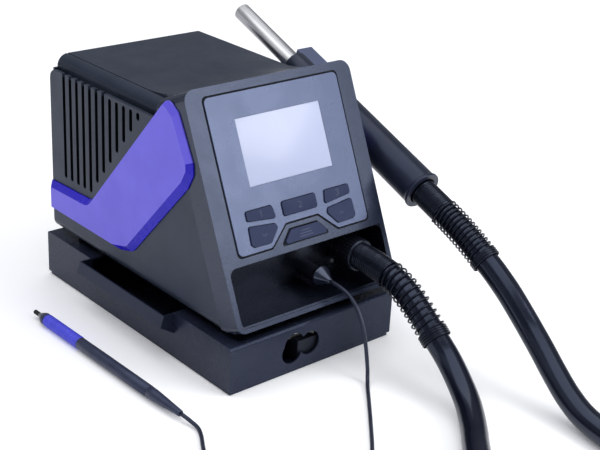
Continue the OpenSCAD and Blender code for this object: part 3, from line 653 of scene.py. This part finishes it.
# The middle of the hose from the nut to the handle, in millimetres: in the station's guard, on and
# over the table, and in the handle's guard
STATION_GUARD_ROUTE = [
    (50, -117, 74), (50, -122, 74), (50, -134, 73.2), (50, -151, 70.5), (50, -166, 65),
    (50, -178, 57.5), (50, -190, 48.5), (50, -202, 39),
]
HOSE_ROUTE = [
    (50, -202, 39), (50, -214, 29.5), (45, -231, 20), (36, -249, 13), (21, -268, 10),
    (4, -286, 9.5), (-14, -306, 9.5), (-33, -330, 9.5), (-50, -360, 9.5), (-62, -394, 9.5),
    (-68, -430, 9.5), (-62, -460, 9.5), (-45, -485, 9.5), (-20, -502, 9.5), (10, -508, 9.5),
    (40, -502, 9.5), (65, -485, 9.5), (82, -460, 9.5), (88, -430, 9.5), (87, -395, 9.5),
    (86, -362, 9.5), (88, -335, 9.5), (91.5, -309, 12), (95, -290, 18.6), (99.6, -272, 28),
    (102.8, -257, 38), (104.8, -242, 49), (105, -229, 60), (105, -217, 69.8), (105, -202.5, 79.8),
    (104.5, -195, 84.7),
]
HANDLE_GUARD_ROUTE = [
    (104.5, -195, 84.7), (103.5, -180, 94.5), (102.5, -165, 103), (102, -150, 109.8),
    (102, -138, 114.5), (102, -126.5, 119),
]
HOSE_STEP = 5 * MM
HOSE_SIDES = 32


def add_hose():
    """The whole hose, from the nut to the handle; returns it and the line along its middle."""
    points = STATION_GUARD_ROUTE + HOSE_ROUTE[1:] + HANDLE_GUARD_ROUTE[1:]
    route = laid(smooth_route([mm(*p) for p in points], HOSE_STEP), HOSE_R)
    piece = new_piece("hose_line", *tube(route, HOSE_R, HOSE_SIDES), ["hose_rubber"])
    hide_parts("hose")
    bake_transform(piece)
    return piece, route


# Spring guards, in millimetres: radii of the wire, of the open turns and of the close-wound sleeve,
# the width of one wire in the close-wound stretches, and how far the open turns run into them
WIRE_R = 0.75
COIL_R = 11.0
SLEEVE_R = 10.7
WOUND = 1.9
OVERLAP = 1
# Points along the guard are this far apart, and the open turns use every COIL_SKIP of them
GUARD_STEP = 0.2
COIL_SKIP = 8
GUARD_SIDES = 40


def close_wound(radius_mm, wire_mm):
    """Radius of a close-wound stretch: a row of round wires."""
    def radius(along):
        phase = (along / MM / wire_mm) % 1 - 0.5
        return (radius_mm + 0.5 * wire_mm * (math.sqrt(max(0, 1 - 4 * phase**2)) - 1)) * MM
    return radius


def helix(route, radius, turns, wire, sides=8, steps=26):
    """(points, faces) of a wire wound round a route."""
    frames = frames_along(route)
    total = length_of(route)
    marks = [0.0]
    for a, b in zip(route, route[1:]):
        marks.append(marks[-1] + (b - a).length)
    centre_line = []
    count = turns * steps
    for i in range(count + 1):
        along = total * i / count
        k = max(j for j, m in enumerate(marks[:-1]) if m <= along + 1e-9)
        t = (along - marks[k]) / (marks[k + 1] - marks[k])
        (p, s, u), (q, v, w) = frames[k], frames[k + 1]
        centre, side, up = p.lerp(q, t), s.lerp(v, t).normalized(), u.lerp(w, t).normalized()
        a = 2 * math.pi * i / steps
        centre_line.append(centre + radius * (side * math.cos(a) + up * math.sin(a)))
    return tube(centre_line, wire, sides)


def part_of(route, start, end):
    """The stretch of a fine route between two distances along it."""
    out, along = [], 0.0
    for a, b in zip(route, route[1:]):
        if start <= along <= end:
            out.append(a)
        along += (b - a).length
    return out


def add_guard(name, points, node, body, sleeve_mm, ring_mm, turns):
    """A spring guard: close-wound sleeve at the housing, open turns, close-wound end ring."""
    route = smooth_route([mm(*p) for p in points], GUARD_STEP * MM)
    total = length_of(route)
    sleeve = part_of(route, 0, sleeve_mm * MM)
    opened = part_of(route, (sleeve_mm - OVERLAP) * MM, total - (ring_mm - OVERLAP) * MM)
    ring = part_of(route, total - ring_mm * MM, total)
    piece = new_piece(name, *joined(
        tube(sleeve, close_wound(SLEEVE_R, WOUND), GUARD_SIDES, closed_ends=False),
        helix(opened[::COIL_SKIP] + [opened[-1]], COIL_R * MM, turns, WIRE_R * MM),
        tube(ring, close_wound(COIL_R + WIRE_R, WOUND), GUARD_SIDES, closed_ends=False),
    ), ["spring_black"])
    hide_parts(node)
    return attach(piece, body)


# --- Vacuum line and pen -------------------------------------------------------------------------

VACUUM_R = 1.5 * MM
# The middle of the vacuum tube, in millimetres: from the plug to the coil, and on to the pen
VACUUM_ROUTE = [
    (15.5, -122, 64.5), (15.6, -129, 64.1), (15.8, -136, 63), (16, -143, 60.6), (16, -148, 57),
    (16, -152.5, 52.5), (16, -157.5, 44.5), (16, -161, 36), (16, -163.5, 27.5), (16, -165.5, 18),
    (16, -167, 10), (15, -168.5, 5), (12.5, -171.5, 2.2), (8, -176.5, 1.5), (-4, -190.5, 1.5),
    (-20, -209, 1.5), (-43, -235, 1.5), (-58, -250, 1.5), (-75, -262, 1.5), (-92, -267, 1.5),
]
PEN_ROUTE = [
    (-136, -216, 2.4), (-140, -203, 1.5), (-142, -190, 1.5), (-140, -177, 1.5),
    (-134.6, -166.8, 1.5), (-128, -156, 1.6), (-124, -147, 2), (-124, -140, 3), (-125, -134, 4.4),
    (-125.6, -129.4, 5),
]
VACUUM_STEP = 3 * MM
VACUUM_SIDES = 14
# The coil, in millimetres: its middle, the radius where the tube comes in, the step between turns
# and how many lie side by side, the height of the lower layer and the rise to the upper one, and
# the angles where the tube comes in and leaves
COIL_AT = (-118, -246)
COIL_OUTER_R = 21.4
COIL_LANE = 2.3
COIL_LANES = 3
COIL_TURNS = 6
COIL_LOW = 2.6
COIL_RISE = 3.0
COIL_IN = math.radians(-78)
COIL_OUT = math.radians(-210)
TURN_STEPS = 24


def coil_route():
    """Turns of the coil: half of them inward on the table, then the rest outward on top of them."""
    total = COIL_OUT - COIL_IN - 2 * math.pi * (COIL_TURNS - 1)
    count = TURN_STEPS * COIL_TURNS
    out = []
    for i in range(count + 1):
        turn = i / count * COIL_TURNS
        lane = min(turn, COIL_TURNS - turn, COIL_LANES)
        radius = COIL_OUTER_R - COIL_LANE * lane
        climb = min(1, max(0, (turn - COIL_TURNS / 2 + 0.5)))
        height = COIL_LOW + COIL_RISE * climb * climb * (3 - 2 * climb)
        a = COIL_IN + total * i / count
        out.append((COIL_AT[0] + radius * math.cos(a), COIL_AT[1] + radius * math.sin(a), height))
    return out


def add_vacuum_line():
    """The whole vacuum tube, from the plug to the pen; returns it and the line along its middle."""
    points = VACUUM_ROUTE + coil_route() + PEN_ROUTE
    route = laid(smooth_route([mm(*p) for p in points], VACUUM_STEP), VACUUM_R)
    piece = new_piece("vacuum_line", *tube(route, VACUUM_R, VACUUM_SIDES), ["tube_rubber"])
    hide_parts("vacuum_tube", "vacuum_coil", "pen_tube")
    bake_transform(piece)
    return piece, route


# The strap's section is a superellipse with this exponent, between a circle and a rectangle
TIE_SQUARENESS = 4
TIE_HALF_WIDTH = 5.2 * MM
TIE_HALF_HEIGHT = 3.6 * MM
TIE_HALF_LENGTH = 3.0 * MM
TIE_THICKNESS = 0.7 * MM
TIE_SIDES = 40


def add_tie():
    """A hook-and-loop strap round one side of the coil."""
    low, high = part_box("coil_tie")
    centre = (low + high) / 2
    out = (centre - mm(*COIL_AT, centre.z / MM)).normalized()
    side = Vector((-out.y, out.x, 0))
    points, faces = [], []
    for depth in (0, TIE_THICKNESS):
        for k in range(TIE_SIDES):
            a = 2 * math.pi * k / TIE_SIDES
            c, s = math.cos(a), math.sin(a)
            r = (abs(c) ** TIE_SQUARENESS + abs(s) ** TIE_SQUARENESS) ** (-1 / TIE_SQUARENESS)
            across = out * c * r * (TIE_HALF_WIDTH - depth)
            upward = Vector((0, 0, s * r * (TIE_HALF_HEIGHT - depth)))
            for along in (-TIE_HALF_LENGTH, TIE_HALF_LENGTH):
                points.append(centre + across + upward + side * along)
    inner = 2 * TIE_SIDES
    for k in range(TIE_SIDES):
        a, b = 2 * k, 2 * ((k + 1) % TIE_SIDES)
        faces += [
            (a, a + 1, b + 1, b), (a + inner, b + inner, b + 1 + inner, a + 1 + inner),
            (a, b, b + inner, a + inner), (a + 1, a + 1 + inner, b + 1 + inner, b + 1),
        ]
    piece = new_piece("coil_strap", points, faces, ["tie_fabric"])
    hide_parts("coil_tie")
    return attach(piece, "station")


# Profiles in millimetres, as (distance along the axis, radius)
PLUG_PROFILE = [
    (0, 4.8), (3.0, 4.9), (3.2, 7.6), (3.5, 8.2), (4.2, 8.4), (4.7, 8.3), (5.3, 7.8), (14.2, 2.3),
    (14.8, 2.0), (15, 1.6),
]
CUP_PROFILE = [(0, 1.0), (0, 1.6), (0.3, 1.8), (6.6, 1.8), (7.0, 1.6), (7.0, 0.9)]
CONE_PROFILE = [
    (6.5, 1.2), (7.0, 1.9), (8, 2.2), (9.5, 2.75), (11, 3.4), (12.4, 4.0), (13.2, 4.2), (14.0, 4.2),
    (14.0, 3.0),
]
COLLAR_PROFILE = [(13.8, 3.0), (13.9, 4.3), (14.3, 4.7), (17.6, 4.8), (18.0, 4.6), (18.0, 3.0)]
BARREL_PROFILE = [
    (64.4, 3.0), (64.6, 4.5), (65.0, 4.7), (90, 4.78), (120, 4.75), (153.0, 4.62), (153.2, 4.15),
    (154.0, 4.15), (154.2, 4.6), (160, 4.45), (170, 3.85), (180, 3.1), (187, 2.62), (189.6, 2.45),
    (190.3, 2.15), (190.4, 1.55), (187, 1.5), (187, 1.0),
]
GRIP_RINGS = 13
GRIP_FROM = 19.0
GRIP_PITCH = 3.5


def grip_profile():
    """The pen's grip: a row of low rings with rounded shoulders."""
    profile = [(18.1, 3.0), (18.2, 4.6), (18.5, 4.8)]
    for i in range(GRIP_RINGS):
        s = GRIP_FROM + GRIP_PITCH * i
        profile += [(s, 4.5), (s + 0.6, 4.95), (s + 2.2, 4.95), (s + 2.8, 4.5)]
    return profile + [(64.3, 4.7), (64.6, 4.4), (64.6, 3.0)]


def add_plug():
    """The cone-shaped plug of the vacuum tube."""
    low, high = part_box("vacuum_plug")
    base = Vector(((low.x + high.x) / 2, high.y, (low.z + high.z) / 2))
    piece = new_piece("vacuum_cone", *lathe(PLUG_PROFILE, base, (0, -1, 0), 48), ["plug_grey"])
    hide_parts("vacuum_plug")
    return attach(piece, "station")


def add_pen_piece(name, profile, finish, node, sides):
    """A turned piece on the pen's axis, from its tip; the finish is the name of its slot too."""
    tip, way = Vector(PEN_TIP["pos_m"]), -Vector(PEN_TIP["axis"])
    piece = new_piece(name, *lathe(profile, tip, way, sides), [finish])
    if node:
        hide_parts(node)
    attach(piece, "pen")


def add_pen():
    add_pen_piece("pen_cup", CUP_PROFILE, "black_rubber", None, 32)
    add_pen_piece("pen_cone", CONE_PROFILE, "pen_metal", "pen_nozzle", 40)
    add_pen_piece("pen_collar", COLLAR_PROFILE, "pen_black", "pen_grip", 40)
    add_pen_piece("pen_sleeve", grip_profile(), "pen_blue", "pen_grip", 48)
    add_pen_piece("pen_case", BARREL_PROFILE, "pen_black", "pen_barrel", 48)


# --- Trims ---------------------------------------------------------------------------------------

# Corners of the trim as (y, z, radius, slope on the edge after it, whether that slope gets the
# darker finish of painted shade)
TRIM_CORNERS = [
    (118, 62.5, 1, 1.0, False), (118, 87.5, 1, 6.0, True), (57, 89.5, 14, 0.9, False),
    (-44, 202.5, 7, 6.0, False), (-57, 195, 6, 6.5, False), (-75, 162, 7, 6.5, True),
    (-75.5, 154, 6, 6.5, True), (-69, 142, 10, 6.5, True), (0, 67, 12, 4.0, True),
    (17, 62.5, 12, 1.6, False),
]
# At the one corner that turns the other way, the radius grows by the slope as the outline moves in.
# At the others it shrinks by part of the slope, down to a least radius.
HOLLOW_CORNER = 2
INNER_SHRINK = 0.6
LEAST_RADIUS = 0.8
# Distances of the trim's back, rim and face from the middle of the case
TRIM_BACK = 77.6
TRIM_RIM = 78.5
TRIM_FACE = 80.5
TRIM_EDGE = 0.35
CORNER_STEPS = 12


def rounded(corners, radii):
    """Points of an outline with its corners rounded, CORNER_STEPS + 1 to a corner."""
    out = []
    for i, b in enumerate(corners):
        u = (corners[i - 1] - b).normalized()
        v = (corners[(i + 1) % len(corners)] - b).normalized()
        half = math.acos(max(-1, min(1, u.dot(v)))) / 2
        centre = b + (u + v).normalized() * radii[i] / math.sin(half)
        p = b + u * radii[i] / math.tan(half) - centre
        q = b + v * radii[i] / math.tan(half) - centre
        start = math.atan2(p.y, p.x)
        turn = (math.atan2(q.y, q.x) - start + 3 * math.pi) % (2 * math.pi) - math.pi
        for k in range(CORNER_STEPS + 1):
            a = start + turn * k / CORNER_STEPS
            out.append(centre + radii[i] * Vector((math.cos(a), math.sin(a))))
    return out


def moved_in(corners, widths):
    """An anticlockwise outline with each edge moved inward by its own width."""
    count = len(corners)
    lines = []
    for i in range(count):
        way = (corners[(i + 1) % count] - corners[i]).normalized()
        lines.append((corners[i] + Vector((-way.y, way.x)) * widths[i], way))
    out = []
    for i in range(count):
        (a, u), (b, v) = lines[i - 1], lines[i]
        out.append(a + u * ((b - a).x * v.y - (b - a).y * v.x) / (u.x * v.y - u.y * v.x))
    return out


def trim_loops():
    """The trim's outline, and the outline of its flat face inside the slopes."""
    corners = [Vector((y, z)) for y, z, *_ in TRIM_CORNERS]
    radii = [radius for _, _, radius, *_ in TRIM_CORNERS]
    widths = [slope for *_, slope, _ in TRIM_CORNERS]
    inner_radii = [
        r + w if i == HOLLOW_CORNER else max(LEAST_RADIUS, r - INNER_SHRINK * w)
        for i, (r, w) in enumerate(zip(radii, widths))
    ]
    return rounded(corners, radii), rounded(moved_in(corners, widths), inner_radii)


def is_shaded_slope(k):
    """Whether the slope's face after point k of the outline gets the darker finish of painted
    shade.
    """
    corner, step = divmod(k, CORNER_STEPS + 1)
    before, after = TRIM_CORNERS[corner - 1][-1], TRIM_CORNERS[corner][-1]
    return after or (before and step < CORNER_STEPS)


def add_trim(side, node):
    """A trim on the left (side -1) or the right (side 1) of the case."""
    outline, face = trim_loops()
    count = len(outline)
    points = [
        mm(side * x, p.x, p.y)
        for x, loop in ((TRIM_BACK, outline), (TRIM_RIM, outline), (TRIM_FACE, face))
        for p in loop
    ]
    faces, slots = [], []
    for ring in (0, 1):
        for k in range(count):
            a, b = ring * count + k, ring * count + (k + 1) % count
            faces.append((a, b, b + count, a + count))
            slots.append(int(is_shaded_slope(k)))
    faces += [tuple(reversed(range(count))), tuple(range(2 * count, 3 * count))]
    slots += [0, 0]
    if side < 0:
        faces = [tuple(reversed(f)) for f in faces]
    piece = new_piece(f"{node}_panel", points, faces, ["trim_purple", "trim_shaded_edge"], slots)
    rim = piece.modifiers.new("rim", "BEVEL")
    rim.width = TRIM_EDGE * MM
    rim.segments = 2
    rim.angle_limit = math.radians(12)
    rim.harden_normals = True
    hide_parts(node)
    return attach(piece, "station")


# --- Hose nut ------------------------------------------------------------------------------------

# (Distance along the axis, radius) in millimetres, and the ribs between two of the distances
NUT_PROFILE = [
    (0, 9.9), (0, 12.0), (0.5, 12.6), (1.2, 12.9), (2.0, 13.0), (14.2, 13.0), (15.4, 12.8),
    (16.4, 12.2), (17, 11.4), (17, 10.0), (24.5, 10.0), (24.5, 9.9),
]
NUT_RIBS = 30
RIB_DEPTH = 0.7
RIBS_FROM = 1.9
RIBS_TO = 14.3


def ribbed(profile, base, way, ribs, depth, low, high):
    """A lathe whose surface between two distances along it is cut into ribs."""
    points, faces = lathe(profile, base, way, 4 * ribs)
    way = Vector(way).normalized()
    for i, (s, r) in enumerate(profile):
        if low <= s <= high:
            for k in range(4 * ribs):
                if k % 4 > 1:
                    n = i * 4 * ribs + k
                    centre = base + way * s * MM
                    points[n] = centre + (points[n] - centre) * (r - depth) / r
    return points, faces


def add_nut():
    """The ribbed nut that holds the hose to the station."""
    front = mm(*STATION_GUARD_ROUTE[0])
    points, faces = ribbed(
        NUT_PROFILE, front, (0, 1, 0), NUT_RIBS, RIB_DEPTH, RIBS_FROM, RIBS_TO
    )
    piece = new_piece("hose_collar", points, faces, ["nut_black"], smooth=False)
    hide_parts("hose_nut")
    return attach(piece, "station")


# --- Painted shade in grooves, and button marks --------------------------------------------------

# The sloping front: how far it leans back, where its plane meets the table, and how far the
# buttons stand out of it
FACE_LEAN = math.radians(24)
FACE_FOOT = -153.5
BUTTON_TOP = 1.8
# Outlines on the front as (across, up the slope, radius)
PLATE_OUTLINE = [
    (-62, 109, 4), (-32, 109, 3), (-15.5, 123.5, 2), (15.5, 123.5, 2), (32, 109, 3), (62, 109, 4),
    (62, 223.3, 4), (-62, 223.3, 4),
]
MENU_OUTLINE = [(-21.5, 108.5, 1.6), (21.5, 108.5, 1.6), (12.8, 118, 1.6), (-12.8, 118, 1.6)]
BUTTON_SEAM = 0.35
# Width of a mark's strokes, and how far they reach under and over the button's top
MARK_WIDTH = 0.55
MARK_SUNK = 0.05
MARK_PROUD = 0.06


def on_face(x, up, out):
    """A point over the sloping front, from millimetres across, up the slope and out of it."""
    c, s = math.cos(FACE_LEAN), math.sin(FACE_LEAN)
    return mm(x, FACE_FOOT - out * c + up * s, out * s + up * c)


def add_groove_shade(name, outline, inside, outside, top, depth):
    """A near-black ring in the groove round an outline, between two distances out from it: painted
    shade for the gap.
    """
    corners = [Vector((x, up)) for x, up, _ in outline]
    radii = [radius for _, _, radius in outline]
    points, faces = [], []
    for wide, out in ((inside, top), (outside, top), (outside, -depth), (inside, -depth)):
        loop = rounded(moved_in(corners, [-wide] * len(corners)), radii)
        points += [on_face(q.x, q.y, out) for q in loop]
    count = len(loop)
    for ring in range(4):
        for k in range(count):
            n = (k + 1) % count
            low, high = ring * count, (ring + 1) % 4 * count
            faces.append((low + k, high + k, high + n, low + n))
    piece = new_piece(name, points, faces, ["groove_shade_black"], smooth=False)
    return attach(piece, "station")


def add_mark(name, lines, body):
    """Thin raised strokes on a button, each a line between points on the face."""
    points, faces = [], []
    for line in lines:
        for a, b in zip(line, line[1:]):
            a, b = Vector(a), Vector(b)
            way = (b - a).normalized() * MARK_WIDTH / 2
            wide = Vector((-way.y, way.x))
            a, b = a - way, b + way
            n = len(points)
            ring = [a - wide, b - wide, b + wide, a + wide]
            points += [on_face(*p, BUTTON_TOP - MARK_SUNK) for p in ring]
            points += [on_face(*p, BUTTON_TOP + MARK_PROUD) for p in ring]
            faces += [(n + 4, n + 5, n + 6, n + 7), (n + 3, n + 2, n + 1, n)]
            faces += [(n + k, n + (k + 1) % 4, n + 4 + (k + 1) % 4, n + 4 + k) for k in range(4)]
    piece = new_piece(name, points, faces, ["mark_grey"], smooth=False)
    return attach(piece, body)


# Strokes of the marks about their own middle, in millimetres
ONE = [[(-0.9, 1.3), (0, 2.1), (0, -2.1)]]
TWO = [[(-1.4, 1.2), (-0.8, 2.1), (0.8, 2.1), (1.4, 1.2), (1.2, 0.2), (-1.4, -2.1), (1.5, -2.1)]]
THREE = [
    [(-1.3, 1.9), (0.7, 2.1), (1.3, 1.2), (0.7, 0.2), (-0.3, 0.1)],
    [(0.7, 0.2), (1.4, -0.8), (0.8, -1.9), (-1.4, -2.0)],
]
DOWN = [[(-1.8, 0.7), (0, -0.7), (1.8, 0.7)]]
UP = [[(-1.8, -0.7), (0, 0.7), (1.8, -0.7)]]
BARS = [[(-4.0, 2.1), (4.0, 2.1)], [(-5.2, 0), (5.2, 0)], [(-6.4, -2.1), (6.4, -2.1)]]
# Each mark's strokes, and its middle across and up the slope
MARKS = {
    "one": (ONE, -36, 135), "two": (TWO, 0, 134), "three": (THREE, 37, 135),
    "down": (DOWN, -37, 119.5), "up": (UP, 37, 119.5), "menu": (BARS, 0, 113),
}


def add_marks():
    """Generic marks: the numbers of the three upper buttons, two chevrons and three bars."""
    for name, (strokes, x, up) in MARKS.items():
        lines = [[(x + a, up + b) for a, b in stroke] for stroke in strokes]
        add_mark(f"mark_{name}", lines, f"button_{name}")


# --- Stage ---------------------------------------------------------------------------------------

# Half the side of the floor, and its height, just under the object so that no faces coincide
FLOOR_HALF = 6.0
FLOOR_Z = -0.2 * MM
FLOOR_LOOK = {
    "Base Color": (0.93, 0.93, 0.94, 1),
    "Roughness": 0.9,
    "Emission Color": (0.95, 0.96, 1.0, 1),
    "Emission Strength": 0.14,
}
SKY_LOOK = {"Color": (0.86, 0.91, 1.0, 1), "Strength": 0.28}


def add_floor():
    """The plain pale floor."""
    signs = ((-1, -1), (1, -1), (1, 1), (-1, 1))
    square = [(x * FLOOR_HALF, y * FLOOR_HALF, FLOOR_Z) for x, y in signs]
    floor = new_piece("floor", square, [(0, 1, 2, 3)], [], smooth=False)
    pale = bpy.data.materials.new("pale_floor")
    pale.use_nodes = True
    shader = pale.node_tree.nodes["Principled BSDF"]
    for socket, value in FLOOR_LOOK.items():
        shader.inputs[socket].default_value = value
    floor.data.materials.append(pale)


def add_sky():
    """Even, dim light from all round, and colours shown as they are."""
    world = bpy.data.worlds.new("studio")
    world.use_nodes = True
    for socket, value in SKY_LOOK.items():
        world.node_tree.nodes["Background"].inputs[socket].default_value = value
    bpy.context.scene.world = world
    bpy.context.scene.view_settings.view_transform = "Standard"


def add_area(name, place, target, size, power):
    """A rectangular light at a place, turned to a target; its power is in watts."""
    data = bpy.data.lights.new(name, "AREA")
    data.shape = "RECTANGLE"
    data.size, data.size_y = size
    data.energy = power
    lamp = bpy.data.objects.new(name, data)
    lamp.location = place
    lamp.rotation_euler = (Vector(target) - Vector(place)).to_track_quat("-Z", "Y").to_euler()
    bpy.context.scene.collection.objects.link(lamp)


# Each light's place, target, size and power
LIGHTS = {
    "top_light": ((-0.2, 0.3, 2.8), (0, 0.3, 0), (4.0, 4.0), 92),
    "left_light": ((-1.5, 0.3, 0.9), (0, 0, 0.1), (1.0, 1.2), 1.5),
    "front_light": ((0.60, -1.32, 0.80), (0, -0.1, 0.13), (1.0, 0.85), 17),
}


def add_lights():
    for name, settings in LIGHTS.items():
        add_area(name, *settings)


# --- Build ---------------------------------------------------------------------------------------

add_camera()
hose_piece, hose_path = add_hose()
station_guard = add_guard(
    "hose_spring_station", STATION_GUARD_ROUTE, "hose_guard_station", "station",
    sleeve_mm=32, ring_mm=8, turns=11,
)
handle_guard = add_guard(
    "hose_spring_handle", HANDLE_GUARD_ROUTE[::-1], "hose_guard_handle", "handle",
    sleeve_mm=25, ring_mm=6, turns=13,
)
line_piece, line_path = add_vacuum_line()
strap = add_tie()
cone = add_plug()
add_pen()
add_trim(-1, "trim_left")
add_trim(1, "trim_right")
add_nut()
# Painted shade: near-black rings in the grooves round the face plate and the menu button
add_groove_shade("plate_groove_shade", PLATE_OUTLINE, inside=0.08, outside=1.3, top=-0.45, depth=1.3)
add_groove_shade("menu_groove_shade", MENU_OUTLINE, inside=BUTTON_SEAM, outside=1.1, top=0.15, depth=0.2)
add_marks()
finish_cad_nodes()
add_floor()
add_sky()
add_lights()
